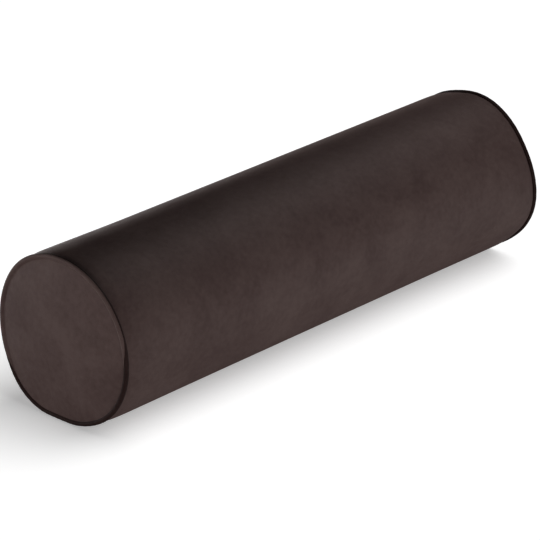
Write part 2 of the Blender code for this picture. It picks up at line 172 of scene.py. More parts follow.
# Zip tapes. Two woven polyester tapes, sewn under the folded edges of the cover's slot. Each carries
# its half of the coil along its inner edge.
ROLL_RADIUS = 0.1015
AXIS_Z = ROLL_RADIUS - 0.002
ZIP_TURN = math.radians(17.0)
TAPE_DEPTH = 0.0015
TAPE_THICK = 0.0005
TAPE_COLUMNS = (0.00025, 0.0012, 0.0024, 0.0038, 0.006, 0.009, 0.012, 0.0142, 0.015)
TAPE_STEPS = 120


def round_point(x, turn, depth):
    """Point at an angle round the roll's axis and a depth below its outer line."""
    radius = ROLL_RADIUS - depth
    return Vector((x, radius * math.cos(turn), AXIS_Z + radius * math.sin(turn)))


def show(name, mesh_data, material, body="pillow", smooth=True):
    """Turn mesh data into a finished object that rides on a body."""
    made_mesh = bpy.data.meshes.new(name)
    mesh_data.to_mesh(made_mesh)
    mesh_data.free()
    if smooth:
        made_mesh.shade_smooth()
    made_mesh.materials.append(material)
    made = bpy.data.objects.new(name, made_mesh)
    bpy.context.collection.objects.link(made)
    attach(made, body)
    return made


# Woven polyester tape, dyed in the piece: matt dark brown, with weft ribs drawn 0.9 mm apart.
tape_weave, tree = new_material("woven_polyester_tape")
place = node(tree, "ShaderNodeTexCoord").outputs["Object"]
spacing = {"Scale": 350.0, "Distortion": 0.6, "Detail Scale": 6.0}
ribs = node(tree, "ShaderNodeTexWave", spacing, Vector=place).outputs[1]
tones = {"data_type": "RGBA", 6: srgb("#2b2120"), 7: srgb("#433835")}
colour = node(tree, "ShaderNodeMix", tones, _0=ribs).outputs[2]
relief = node(tree, "ShaderNodeBump", {"Strength": 0.5, "Distance": 0.0002}, Height=ribs).outputs[0]
finish = {"Roughness": 0.8, "Specular IOR Level": 0.3}
shader = node(tree, "ShaderNodeBsdfPrincipled", finish, Base_Color=colour, Normal=relief)
node(tree, "ShaderNodeOutputMaterial", Surface=shader.outputs[0])

for side, word in ((1, "upper"), (-1, "lower")):
    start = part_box("zip_tape_" + word)[0][0]
    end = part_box("zip_tape_" + word)[1][0]
    strip = bmesh.new()
    rows = []
    for i in range(TAPE_STEPS + 1):
        x = start + (end - start) * i / TAPE_STEPS
        turns = [ZIP_TURN + side * along / ROLL_RADIUS for along in TAPE_COLUMNS]
        rows.append([strip.verts.new(round_point(x, turn, TAPE_DEPTH)) for turn in turns])
    for i in range(TAPE_STEPS):
        for k in range(len(TAPE_COLUMNS) - 1):
            loop = [rows[i][k], rows[i][k + 1], rows[i + 1][k + 1], rows[i + 1][k]]
            strip.faces.new(loop[::-1] if side > 0 else loop)
    tape = show(f"zip_tape_{word}_woven", strip, tape_weave)
    thickness = tape.modifiers.new("thickness", "SOLIDIFY")
    thickness.thickness = TAPE_THICK
    thickness.offset = -1.0
    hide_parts("zip_tape_" + word)

# Zip coil. Each half is one nylon filament wound into about 414 flattened loops and sewn along the
# edge of its tape by a row of thread. The loops of the two halves lie half a pitch apart.
CHAIN_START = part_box("zip_coil_upper")[0][0]
CHAIN_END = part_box("zip_coil_upper")[1][0]
COIL_PITCH = 0.00135
FILAMENT = 0.0006
COIL_INNER = 0.00025
COIL_OUTER = 0.0032
COIL_LOW = -0.0012
COIL_HIGH = 0.001
SEWING_LINE = 0.0022  # from the zip's middle to the thread that holds the coil


def zip_point(x, across, height):
    """Point in the zip's own flat frame: along it, across it and out of the cover."""
    out = Vector((0.0, math.cos(ZIP_TURN), math.sin(ZIP_TURN)))
    side = Vector((0.0, -math.sin(ZIP_TURN), math.cos(ZIP_TURN)))
    return Vector((x, 0.0, AXIS_Z)) + out * (ROLL_RADIUS + height) + side * across


def new_tree(name, inputs):
    """A geometry tree with named inputs; returns it with its input and output nodes."""
    tree = bpy.data.node_groups.new(name, "GeometryNodeTree")
    tree.interface.new_socket("Geometry", in_out="INPUT", socket_type="NodeSocketGeometry")
    tree.interface.new_socket("Geometry", in_out="OUTPUT", socket_type="NodeSocketGeometry")
    for label, kind in inputs:
        tree.interface.new_socket(label, in_out="INPUT", socket_type="NodeSocket" + kind)
    return tree, tree.nodes.new("NodeGroupInput"), tree.nodes.new("NodeGroupOutput")


def end_tree(tree, output, geometry, source):
    """Realise the instances, set the material and join the output."""
    real = node(tree, "GeometryNodeRealizeInstances", Geometry=geometry)
    material = source.outputs["Material"]
    painted = node(tree, "GeometryNodeSetMaterial", Geometry=real.outputs[0], Material=material)
    tree.links.new(painted.outputs[0], output.inputs[0])


def grow(name, tree, values, base=None):
    """Run a tree on a base mesh and keep the result as a plain mesh object."""
    seed = bpy.data.objects.new(name + "_seed", base or bpy.data.meshes.new(name + "_seed"))
    bpy.context.collection.objects.link(seed)
    change = seed.modifiers.new("grow", "NODES")
    change.node_group = tree
    for item in tree.interface.items_tree:
        if item.in_out == "INPUT" and item.name in values:
            change[item.identifier] = values[item.name]
    graph = bpy.context.evaluated_depsgraph_get()
    made_mesh = bpy.data.meshes.new_from_object(seed.evaluated_get(graph))
    seed.modifiers.remove(change)
    bpy.data.objects.remove(seed)
    made_mesh.name = name
    made_mesh.shade_smooth()
    made = bpy.data.objects.new(name, made_mesh)
    bpy.context.collection.objects.link(made)
    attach(made, "pillow")
    return made


coil_inputs = (
    ("Loops", "Float"),
    ("Length", "Float"),
    ("Width", "Float"),
    ("Height", "Float"),
    ("Filament", "Float"),
    ("Turn", "Rotation"),
    ("Start", "Vector"),
    ("Material", "Material"),
)
coil_tree, source, output = new_tree("coil_of_loops", coil_inputs)
given = source.outputs
halve = {"operation": "MULTIPLY", 1: 0.5}
loops = node(
    coil_tree,
    "GeometryNodeCurveSpiral",
    {"Resolution": 10, "Start Radius": 1.0, "End Radius": 1.0},
    Rotations=given["Loops"],
    Height=given["Length"],
)
half_width = node(coil_tree, "ShaderNodeMath", halve, _0=given["Width"])
half_height = node(coil_tree, "ShaderNodeMath", halve, _0=given["Height"])
flat = node(coil_tree, "ShaderNodeCombineXYZ", {2: 1.0}, X=half_width.outputs[0], Y=half_height.outputs[0])
laid = node(
    coil_tree,
    "GeometryNodeTransform",
    {"Rotation": (0, math.pi / 2, 0)},
    Geometry=loops.outputs[0],
    Scale=flat.outputs[0],
)
set_in = node(
    coil_tree,
    "GeometryNodeTransform",
    Geometry=laid.outputs[0],
    Rotation=given["Turn"],
    Translation=given["Start"],
)
radius = node(coil_tree, "ShaderNodeMath", halve, _0=given["Filament"])
section = node(coil_tree, "GeometryNodeCurvePrimitiveCircle", {"Resolution": 5}, Radius=radius.outputs[0])
filament = node(
    coil_tree,
    "GeometryNodeCurveToMesh",
    {"Fill Caps": True},
    Curve=set_in.outputs[0],
    Profile_Curve=section.outputs[0],
)
end_tree(coil_tree, output, filament.outputs[0], source)

stitch_inputs = (
    ("Stitch length", "Float"),
    ("Gap", "Float"),
    ("Thread", "Float"),
    ("Unevenness", "Float"),
    ("Seed", "Int"),
    ("Material", "Material"),
)
stitch_tree, source, output = new_tree("row_of_stitches", stitch_inputs)
given = source.outputs
path = node(stitch_tree, "GeometryNodeMeshToCurve", Mesh=given[0])
pitch = node(stitch_tree, "ShaderNodeMath", {"operation": "ADD"}, _0=given["Stitch length"], _1=given["Gap"])
spots = node(
    stitch_tree,
    "GeometryNodeCurveToPoints",
    {"mode": "LENGTH"},
    Curve=path.outputs[0],
    Length=pitch.outputs[0],
)
bead = node(stitch_tree, "GeometryNodeMeshUVSphere", {"Segments": 6, "Rings": 5, "Radius": 0.5})
thick = given["Thread"]
size = node(stitch_tree, "ShaderNodeCombineXYZ", X=thick, Y=thick, Z=given["Stitch length"])
stitch = node(stitch_tree, "GeometryNodeTransform", Geometry=bead.outputs[0], Scale=size.outputs[0])
lean = node(stitch_tree, "FunctionNodeRandomValue", {"data_type": "FLOAT_VECTOR"}, Seed=given["Seed"])
lean.inputs[0].default_value = (-1.0, -1.0, -1.0)
lean.inputs[1].default_value = (1.0, 1.0, 1.0)
tilt = node(
    stitch_tree,
    "ShaderNodeVectorMath",
    {"operation": "SCALE"},
    Vector=lean.outputs[0],
    Scale=given["Unevenness"],
)
sewn = node(
    stitch_tree,
    "GeometryNodeInstanceOnPoints",
    Points=spots.outputs[0],
    Instance=stitch.outputs[0],
    Rotation=spots.outputs["Rotation"],
)
tipped = node(stitch_tree, "GeometryNodeRotateInstances", Instances=sewn.outputs[0], Rotation=tilt.outputs[0])
end_tree(stitch_tree, output, tipped.outputs[0], source)


def line_mesh(name, points, closed=False):
    """A mesh of one line of edges through points."""
    edges = [(i, i + 1) for i in range(len(points) - 1)]
    if closed:
        edges.append((len(points) - 1, 0))
    made = bpy.data.meshes.new(name)
    made.from_pydata([tuple(point) for point in points], edges, [])
    return made


# Nylon monofilament, heat-set: dark brown and satin, dyed a little unevenly.
coil_nylon, tree = new_material("heat_set_nylon")
place = node(tree, "ShaderNodeTexCoord").outputs["Object"]
batch = node(tree, "ShaderNodeTexNoise", {"Scale": 120.0, "Detail": 2.0}, Vector=place).outputs[0]
tones = {"data_type": "RGBA", 6: srgb("#2f2523"), 7: srgb("#4a3d39")}
colour = node(tree, "ShaderNodeMix", tones, _0=batch).outputs[2]
shader = node(tree, "ShaderNodeBsdfPrincipled", {"Roughness": 0.34, "IOR": 1.53}, Base_Color=colour)
node(tree, "ShaderNodeOutputMaterial", Surface=shader.outputs[0])

# Spun polyester sewing thread, three-ply: matt, with plies 0.8 mm apart along the stitch.
thread, tree = new_material("spun_polyester_thread")
place = node(tree, "ShaderNodeTexCoord").outputs["Object"]
spacing = {"Scale": 780.0, "bands_direction": "DIAGONAL"}
plies = node(tree, "ShaderNodeTexWave", spacing, Vector=place).outputs[1]
tones = {"data_type": "RGBA", 6: srgb("#3a2e2b"), 7: srgb("#5a4b46")}
colour = node(tree, "ShaderNodeMix", tones, _0=plies).outputs[2]
relief = node(tree, "ShaderNodeBump", {"Strength": 0.5, "Distance": 0.0001}, Height=plies).outputs[0]
finish = {"Roughness": 0.7, "Sheen Weight": 0.2}
shader = node(tree, "ShaderNodeBsdfPrincipled", finish, Base_Color=colour, Normal=relief)
node(tree, "ShaderNodeOutputMaterial", Surface=shader.outputs[0])

for side, word in ((1, "upper"), (-1, "lower")):
    middle = side * (COIL_INNER + COIL_OUTER) / 2
    first = CHAIN_START + FILAMENT / 2 + (COIL_PITCH / 2 if side > 0 else 0.0)
    length = CHAIN_END - FILAMENT / 2 - first - COIL_PITCH / 2
    values = {
        "Loops": length / COIL_PITCH,
        "Length": length,
        "Width": COIL_OUTER - COIL_INNER - FILAMENT,
        "Height": COIL_HIGH - COIL_LOW - FILAMENT,
        "Filament": FILAMENT,
        "Turn": (ZIP_TURN, 0.0, 0.0),
        "Start": zip_point(first, middle, (COIL_LOW + COIL_HIGH) / 2),
        "Material": coil_nylon,
    }
    coil = grow(f"zip_coil_{word}_loops", coil_tree, values)
    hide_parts("zip_coil_" + word)
    reaches = (CHAIN_START + 0.001, CHAIN_END - 0.001)
    ends = [zip_point(x, side * SEWING_LINE, COIL_HIGH + 0.0001) for x in reaches]
    values = {
        "Stitch length": 0.0026,
        "Gap": 0.0001,
        "Thread": 0.0003,
        "Unevenness": 0.0,
        "Seed": 1,
        "Material": thread,
    }
    row = grow(f"zip_coil_{word}_stitches", stitch_tree, values, line_mesh("coil_row", ends))

# Zip stops. Small nickel-plated staples, crimped over the coil: one on each half at the open end,
# and a wide one over both halves at the closed end.
STOP_GAP = 0.0005  # from the zip's middle to a top stop
STAPLE_SIDES = 20
STAPLE_SECTIONS = ((0.0, 0.72), (0.08, 0.92), (0.22, 1.0), (0.5, 0.9), (0.78, 1.0), (0.92, 0.92), (1.0, 0.72))


def crimped_stop(x_low, x_high, across_low, across_high):
    """A rounded staple with a pressed waist, closed at both ends."""
    staple = bmesh.new()
    loops = []
    for share, scale in STAPLE_SECTIONS:
        loop = []
        for k in range(STAPLE_SIDES):
            angle = 2 * math.pi * k / STAPLE_SIDES
            flat_cos = math.copysign(abs(math.cos(angle)) ** 0.5, math.cos(angle))
            flat_sin = math.copysign(abs(math.sin(angle)) ** 0.5, math.sin(angle))
            across = (across_low + across_high) / 2 + (across_high - across_low) / 2 * flat_cos * scale
            height = (COIL_LOW + COIL_HIGH) / 2 + (COIL_HIGH - COIL_LOW) / 2 * flat_sin * scale
            loop.append(staple.verts.new(zip_point(x_low + (x_high - x_low) * share, across, height)))
        loops.append(loop)
    for here, there in zip(loops, loops[1:]):
        for k in range(STAPLE_SIDES):
            n = (k + 1) % STAPLE_SIDES
            staple.faces.new([here[k], here[n], there[n], there[k]])
    staple.faces.new(loops[0])
    staple.faces.new(loops[-1])
    bmesh.ops.recalc_face_normals(staple, faces=staple.faces)
    return staple


# Nickel plate on die-cast zinc, barrel-polished: bright, slightly warm, with fine wear marks.
nickel, tree = new_material("nickel_plated_zinc")
place = node(tree, "ShaderNodeTexCoord").outputs["Object"]
marks = {"Scale": 2400.0, "Detail": 3.0, "Roughness": 0.6}
wear = node(tree, "ShaderNodeTexNoise", marks, Vector=place).outputs[0]
limits = {"From Min": 0.35, "From Max": 0.7, "To Min": 0.22, "To Max": 0.27}
rough = node(tree, "ShaderNodeMapRange", limits, Value=wear).outputs[0]
tones = {"data_type": "RGBA", 6: srgb("#b4aea5"), 7: srgb("#bfbab1")}
colour = node(tree, "ShaderNodeMix", tones, _0=wear).outputs[2]
relief = node(tree, "ShaderNodeBump", {"Strength": 0.03, "Distance": 0.00002}, Height=wear).outputs[0]
shader = node(
    tree,
    "ShaderNodeBsdfPrincipled",
    {"Metallic": 1.0},
    Base_Color=colour,
    Roughness=rough,
    Normal=relief,
)
node(tree, "ShaderNodeOutputMaterial", Surface=shader.outputs[0])

stops = (
    ("zip_top_stop_upper", STOP_GAP, COIL_OUTER),
    ("zip_top_stop_lower", -COIL_OUTER, -STOP_GAP),
    ("zip_bottom_stop", -COIL_OUTER, COIL_OUTER),
)
for name, across_low, across_high in stops:
    low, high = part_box(name)
    stop = show(name + "_crimped", crimped_stop(low[0], high[0], across_low, across_high), nickel)
    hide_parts(name)

# Zip slider. A die-cast body of two plates with flanges down both sides, the post that parts the
# coil, and a loop on top through which the pull hangs.
SLIDER_X = sum(corner[0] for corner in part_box("zip_slider")) / 2
PLATE_LOW = 0.0013
PLATE_HIGH = 0.0023
KEEL_LOW = -0.0034
KEEL_HIGH = -0.0025


def prism(mesh_data, outline, low, high, place):
    """Add a closed prism between two levels on an outline."""
    bottom = [mesh_data.verts.new(place(a, b, low)) for a, b in outline]
    top = [mesh_data.verts.new(place(a, b, high)) for a, b in outline]
    mesh_data.faces.new(bottom[::-1])
    mesh_data.faces.new(top)
    for i in range(len(outline)):
        n = (i + 1) % len(outline)
        mesh_data.faces.new([bottom[i], bottom[n], top[n], top[i]])


def on_slider(x, across, height):
    """Point on the slider, measured along the zip from its middle."""
    return zip_point(SLIDER_X + x, across, height)


def rounded_bar(mesh_data, path, half_width, thick, sides):
    """Add a closed bar that follows a path in the slider's middle plane."""
    loops = []
    for i, (x, height) in enumerate(path):
        before = path[max(i - 1, 0)]
        after = path[min(i + 1, len(path) - 1)]
        run = Vector((after[0] - before[0], after[1] - before[1])).normalized()
        loop = []
        for k in range(sides):
            angle = 2 * math.pi * k / sides
            flat_cos = math.copysign(abs(math.cos(angle)) ** 0.6, math.cos(angle))
            flat_sin = math.copysign(abs(math.sin(angle)) ** 0.6, math.sin(angle))
            lift = thick / 2 * flat_sin
            spot = on_slider(x - run[1] * lift, half_width * flat_cos, height + run[0] * lift)
            loop.append(mesh_data.verts.new(spot))
        loops.append(loop)
    for here, there in zip(loops, loops[1:]):
        for k in range(sides):
            n = (k + 1) % sides
            face = mesh_data.faces.new([here[k], here[n], there[n], there[k]])
            face.smooth = True
    mesh_data.faces.new(loops[0])
    mesh_data.faces.new(loops[-1])


HALF_PLAN = (  # half of the top plate's outline, in millimetres
    (5.2, 1.4), (5.5, 2.4), (5.3, 3.6), (4.6, 4.3), (3.0, 4.5),
    (0.0, 4.4), (-3.4, 4.2), (-4.8, 3.7), (-5.5, 2.6), (-5.5, 1.0),
)
ARCH_STEPS = 16

plan = [(4.7, 0.0)] + list(HALF_PLAN) + [(x, -y) for x, y in reversed(HALF_PLAN)]
plan = [(x / 1000, y / 1000) for x, y in plan]
keel = [(x * 0.98, y * 0.78) for x, y in plan]
cast = bmesh.new()
prism(cast, plan, PLATE_LOW, PLATE_HIGH, on_slider)
prism(cast, keel, KEEL_LOW, KEEL_HIGH, on_slider)
for side in (-1, 1):
    flange = [(-0.0048, 0.0036), (0.0046, 0.0036), (0.004, 0.0044), (-0.004, 0.0042)]
    prism(cast, [(x, side * y) for x, y in flange], -0.0012, 0.0015, on_slider)
post = [(0.0025, 0.0), (0.0029, 0.0002), (0.0046, 0.0002)]
post += [(0.0049, 0.0), (0.0046, -0.0002), (0.0029, -0.0002)]
prism(cast, post, -0.0027, 0.0015, on_slider)
bmesh.ops.recalc_face_normals(cast, faces=cast.faces)
arch = [(-0.0029, 0.002), (-0.00295, 0.0028)]
for i in range(ARCH_STEPS + 1):
    swing = math.pi * (1 - i / ARCH_STEPS)
    lean = math.copysign(abs(math.cos(swing)) ** 0.7, math.cos(swing))
    arch.append((0.00295 * lean, 0.0033 + 0.00148 * math.sin(swing) ** 0.6))
arch += [(0.00295, 0.0028), (0.0029, 0.002)]
rounded_bar(cast, arch, half_width=0.0011, thick=0.00095, sides=16)
bmesh.ops.recalc_face_normals(cast, faces=cast.faces)
slider = show("zip_slider_cast", cast, nickel, "slider", smooth=False)
edge = slider.modifiers.new("rounded_edges", "BEVEL")
edge.width = 0.00022
edge.segments = 2
edge.limit_method = "ANGLE"
edge.angle_limit = math.radians(50)
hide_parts("zip_slider")

# Zip pull. A flat die-cast tab whose end bar turns under the slider's loop. It narrows to a waist
# and widens again to a finger grip with three ribs on each face.
HINGE_HEIGHT = 0.0033
PULL_THICK = 0.0012
PULL_OUTLINE = (  # half widths along the pull, in millimetres
    (-0.6, 2.3), (-0.45, 2.75), (0.0, 3.0), (0.6, 3.0), (4.38, 3.0), (5.8, 2.95),
    (7.4, 2.55), (8.8, 2.22), (12.0, 2.2), (15.0, 2.22), (17.2, 2.6), (19.2, 3.0),
    (20.8, 2.98), (22.2, 2.7), (23.2, 2.15), (23.75, 1.5), (24.0, 0.6),
)
EYE_START = 0.6
EYE_END = 4.38
RIBS = (18.4, 20.0, 21.6)
RIB_LOW = 0.0005
RIB_HIGH = 0.00078


def pull_stations():
    """The pull's half widths along it, smoothed between the outline's points past the eye."""
    first = [along for along, half in PULL_OUTLINE].index(EYE_END)
    stations = list(PULL_OUTLINE[:first + 1])
    for i in range(first, len(PULL_OUTLINE) - 1):
        before = PULL_OUTLINE[max(i - 1, first)]
        here = PULL_OUTLINE[i]
        there = PULL_OUTLINE[i + 1]
        after = PULL_OUTLINE[min(i + 2, len(PULL_OUTLINE) - 1)]
        for step in (1, 2, 3, 4):
            t = step / 4
            spot = []
            for a, b, c, d in zip(before, here, there, after):
                bend = 2 * a - 5 * b + 4 * c - d + t * (3 * (b - c) + d - a)
                spot.append(b + 0.5 * t * (c - a + t * bend))
            stations.append((spot[0], spot[1]))
    return stations


def on_pull(along, across, height):
    """Point on the pull, measured from its hinge towards its tip."""
    return on_slider(-along, across, HINGE_HEIGHT + height)


tab = bmesh.new()
stations = pull_stations()
rows = []
for along, half in stations:
    inner = min(1.5, half * 0.6)
    spread = (-half, -inner, 0.0, inner, half)
    rows.append([tab.verts.new(on_pull(along / 1000, y / 1000, PULL_THICK / 2)) for y in spread])
for i, (here, there) in enumerate(zip(rows, rows[1:])):
    in_eye = EYE_START <= stations[i][0] < EYE_END
    for k in (0, 3) if in_eye else (0, 1, 2, 3):
        tab.faces.new([here[k], there[k], there[k + 1], here[k + 1]])
loose = [vert for vert in tab.verts if not vert.link_faces]
bmesh.ops.delete(tab, geom=loose, context="VERTS")
bmesh.ops.recalc_face_normals(tab, faces=tab.faces)
grown = bmesh.ops.extrude_face_region(tab, geom=list(tab.faces))
shift = on_pull(0, 0, -PULL_THICK / 2) - on_pull(0, 0, PULL_THICK / 2)
under = [item for item in grown["geom"] if isinstance(item, bmesh.types.BMVert)]
bmesh.ops.translate(tab, vec=shift, verts=under)
for along in RIBS:
    rib = [(along - 0.25, -1.6), (along + 0.25, -1.6), (along + 0.25, 1.6), (along - 0.25, 1.6)]
    rib = [(a / 1000, b / 1000) for a, b in rib]
    prism(tab, rib, RIB_LOW, RIB_HIGH, on_pull)
    prism(tab, rib, -RIB_HIGH, -RIB_LOW, on_pull)
bmesh.ops.recalc_face_normals(tab, faces=tab.faces)
pull = show("zip_pull_cast", tab, nickel, "pull", smooth=False)
edge = pull.modifiers.new("rounded_edges", "BEVEL")
edge.width = 0.0002
edge.segments = 2
edge.limit_method = "ANGLE"
edge.angle_limit = math.radians(50)
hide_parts("zip_pull")

# Velvet cover. A tube of short-pile velvet and two round end panels, sewn together over piping and
# pulled tight on the filling. The filling's pressure and the slightly full cloth at the seams are
# simulated on one shell pinned at its seams, which is then cut into its three cloths.
PIPING_RADIUS = 0.003
PIPING_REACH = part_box("right_piping_strip")[1][0] - PIPING_RADIUS
SEAM_BACK = 0.0026  # from the piping's centre to where the tube's cloth meets it
SEAM_SINK = 0.0026  # depth of that meeting below the roll's outer line
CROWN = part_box("cover_right_end")[1][0] - PIPING_REACH
SHOULDER = 0.018  # over which the tube rounds down to its seam
SEAM_ROLLS = {-1: math.radians(254), 1: math.radians(120)}  # where each end's piping lies bare
WRAP_STEPS = 8
HUG = PIPING_RADIUS + 0.00035  # from the piping's centre to the panel's edge that wraps it
SEAM_BITE = PIPING_RADIUS - 0.0008  # from there to the last row of that edge, turned into the seam
SLOT_HALF = 0.006
SLOT_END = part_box("zip_top_stop_upper")[1][0] + 0.002
HEM_DROP = 0.0011
HEM_BACK = 0.0035
FLOOR_GAP = 0.00005
MOST_OUT = 0.006  # the farthest that the simulation may move the cloth
MOST_IN = 0.0004  # the farthest that it may move the tube towards the filling
COLUMNS = 144
ROWS_TO_SLOT_END = 57
ROWS_TO_SEAM = 14
# Each swell of a soft end: its angle and width in degrees, and its height in metres.
LEFT_SWELLS = ((309, 25, 0.0064), (50, 24, 0.0015), (254, 22, -0.0017))
RIGHT_SWELLS = ((196, 26, 0.0052), (106, 18, 0.0014), (148, 16, -0.0014), (76, 14, -0.0014))


def swell(x, turn):
    """How far a soft end has settled out of round, fading towards the middle of the roll."""
    total = 0.0
    for centre, width, height in RIGHT_SWELLS if x > 0 else LEFT_SWELLS:
        off = (turn - math.radians(centre) + math.pi) % (2 * math.pi) - math.pi
        start = 0.315 if height < 0 else 0.2
        share = min(max((abs(x) - start) / (PIPING_REACH - start), 0.0), 1.0)
        share = share * share * (3 - 2 * share)
        total += height * share * math.exp(-((off / math.radians(width)) ** 2))
    return total


def roll_point(x, turn, depth):
    """Point on the settled roll at a depth below its outer line, flat where it rests."""
    radius = ROLL_RADIUS - depth + swell(x, turn)
    z = AXIS_Z + radius * math.sin(turn)
    floor = min(depth, 0.03)
    soft = 0.0015
    lifted = floor + 0.5 * (z - floor + math.sqrt((z - floor) ** 2 + soft ** 2)) - 0.2 * soft
    return Vector((x, radius * math.cos(turn), max(lifted, FLOOR_GAP)))


def column_turns():
    """Angles of the shell's columns, with two of them moved onto the slot's edges."""
    step = 2 * math.pi / COLUMNS
    turns = [ZIP_TURN + step * (k + 0.5) for k in range(COLUMNS)]
    edge = SLOT_HALF / ROLL_RADIUS
    turns[1] = ZIP_TURN + edge
    turns[COLUMNS - 2] = ZIP_TURN + 2 * math.pi - edge
    return turns


def row_reaches():
    """Places of the shell's rows along the tube, from seam to seam."""
    seam = PIPING_REACH - SEAM_BACK
    inner = [SLOT_END * i / ROWS_TO_SLOT_END for i in range(ROWS_TO_SLOT_END)]
    outer = [SLOT_END + (seam - SLOT_END) * i / ROWS_TO_SEAM for i in range(ROWS_TO_SEAM + 1)]
    half = inner + outer
    return [-x for x in reversed(half[1:])] + half


def shoulder_depth(x):
    """Depth of the tube's cloth below the outer line: none along the roll, more at a seam."""
    back = (PIPING_REACH - SEAM_BACK - abs(x)) / SHOULDER
    return SEAM_SINK * max(0.0, 1.0 - back) ** 2.2


def disc_grid(cells):
    """Points (u, v) in the unit disc from a square grid, evenly spaced round its rim."""
    side = [math.sqrt(2) * math.sin(math.radians(90 * i / cells - 45)) for i in range(cells + 1)]
    return [[(u * math.sqrt(1 - v * v / 2), v * math.sqrt(1 - u * u / 2)) for u in side] for v in side]


def seam_angle(side, turn):
    """Where the panel meets the piping: the seam rolls, so its edge covers the piping in places."""
    bare = 0.5 + 0.5 * math.cos(turn - SEAM_ROLLS[side])
    bare = min(max((bare - 0.46) / 0.26, 0.0), 1.0)
    bare = bare * bare * (3 - 2 * bare)
    return math.radians(74 - 138 * bare)


def add_panel(shell, cloth, held, side, start):
    """One crowned end panel, with an edge that hugs the piping as far as its seam."""
    cells = COLUMNS // 4
    low = math.radians(-70)
    rim = HUG * math.cos(low)
    depth = PIPING_RADIUS - HUG * math.sin(low)
    verts = []
    for line in disc_grid(cells):
        made = []
        for u, v in line:
            share = min(math.hypot(u, v), 1.0)
            edge = roll_point(side * PIPING_REACH, math.atan2(v, u) + start, depth)
            puff = 0.78 * (1 - share ** 2.4) + 0.22 * (1 - share ** 12)
            x = side * (PIPING_REACH + rim + (CROWN - rim) * puff)
            made.append(shell.verts.new((x, edge.y * share, AXIS_Z + (edge.z - AXIS_Z) * share)))
        verts.append(made)
    faces = []
    for j in range(cells):
        for i in range(cells):
            faces.append([verts[j][i], verts[j][i + 1], verts[j + 1][i + 1], verts[j + 1][i]])
    edge_verts = [verts[0][i] for i in range(cells)] + [verts[j][cells] for j in range(cells)]
    edge_verts += [verts[cells][i] for i in range(cells, 0, -1)] + [verts[j][0] for j in range(cells, 0, -1)]
    turns = [math.atan2(vert.co.z - AXIS_Z, vert.co.y) for vert in edge_verts]
    inner = edge_verts
    for step in range(1, WRAP_STEPS + 2):
        outer = []
        for turn in turns:
            end = seam_angle(side, turn)
            angle = low + (end - low) * min(step, WRAP_STEPS) / WRAP_STEPS
            reach = HUG if step <= WRAP_STEPS else SEAM_BITE
            x = side * (PIPING_REACH + reach * math.cos(angle))
            vert = shell.verts.new(roll_point(x, turn, PIPING_RADIUS - reach * math.sin(angle)))
            vert[held] = 1
            outer.append(vert)
        for k in range(COLUMNS):
            n = (k + 1) % COLUMNS
            faces.append([inner[k], outer[k], outer[n], inner[n]])
        inner = outer
    for vert in edge_verts:
        vert[held] = 1
    for loop in faces:
        face = shell.faces.new(loop if side > 0 else loop[::-1])
        face[cloth] = 1 if side < 0 else 2


def build_shell():
    """The shell: tube with its slot, and a crowned panel at each end."""
    shell = bmesh.new()
    cloth = shell.faces.layers.int.new("cloth")
    held = shell.verts.layers.int.new("held")
    turns = column_turns()
    rows = []
    for x in row_reaches():
        depth = shoulder_depth(x)
        rows.append([shell.verts.new(roll_point(x, turn, depth)) for turn in turns])
    for here, there in zip(rows, rows[1:]):
        middle = (here[0].co.x + there[0].co.x) / 2
        for k in range(COLUMNS):
            if k in (COLUMNS - 2, COLUMNS - 1, 0) and abs(middle) < SLOT_END:
                continue
            n = (k + 1) % COLUMNS
            face = shell.faces.new([here[k], here[n], there[n], there[k]])
            face[cloth] = 0
    loose = [vert for vert in shell.verts if not vert.link_faces]
    bmesh.ops.delete(shell, geom=loose, context="VERTS")
    for side in (-1, 1):
        add_panel(shell, cloth, held, side, turns[0] + math.radians(45))
    bmesh.ops.recalc_face_normals(shell, faces=shell.faces)
    return shell


def boundary_verts(mesh):
    """Vertices on an open edge of a mesh."""
    used = {}
    for polygon in mesh.polygons:
        for key in polygon.edge_keys:
            used[key] = used.get(key, 0) + 1
    return sorted({v for key, count in used.items() if count == 1 for v in key})


def seam_fullness(points):
    """Share of extra cloth at each point: all of it at a seam, none 3 cm away."""
    reach = np.abs(points[:, 0])
    beside_seam = np.clip(1 - np.abs(PIPING_REACH - reach) / 0.025, 0, 1)
    turn = np.arctan2(points[:, 2] - AXIS_Z, points[:, 1]) - ZIP_TURN
    beside_zip = np.clip(1 - (np.abs(turn) * ROLL_RADIUS - SLOT_HALF) / 0.02, 0, 1)
    beside_zip *= np.clip((SLOT_END + 0.02 - reach) / 0.02, 0, 1)
    radius = np.hypot(points[:, 1], points[:, 2] - AXIS_Z)
    beside_rim = np.clip(1 - (ROLL_RADIUS - radius) / 0.03, 0, 1)
    return np.where(reach > PIPING_REACH, beside_rim, np.maximum(beside_seam, beside_zip))


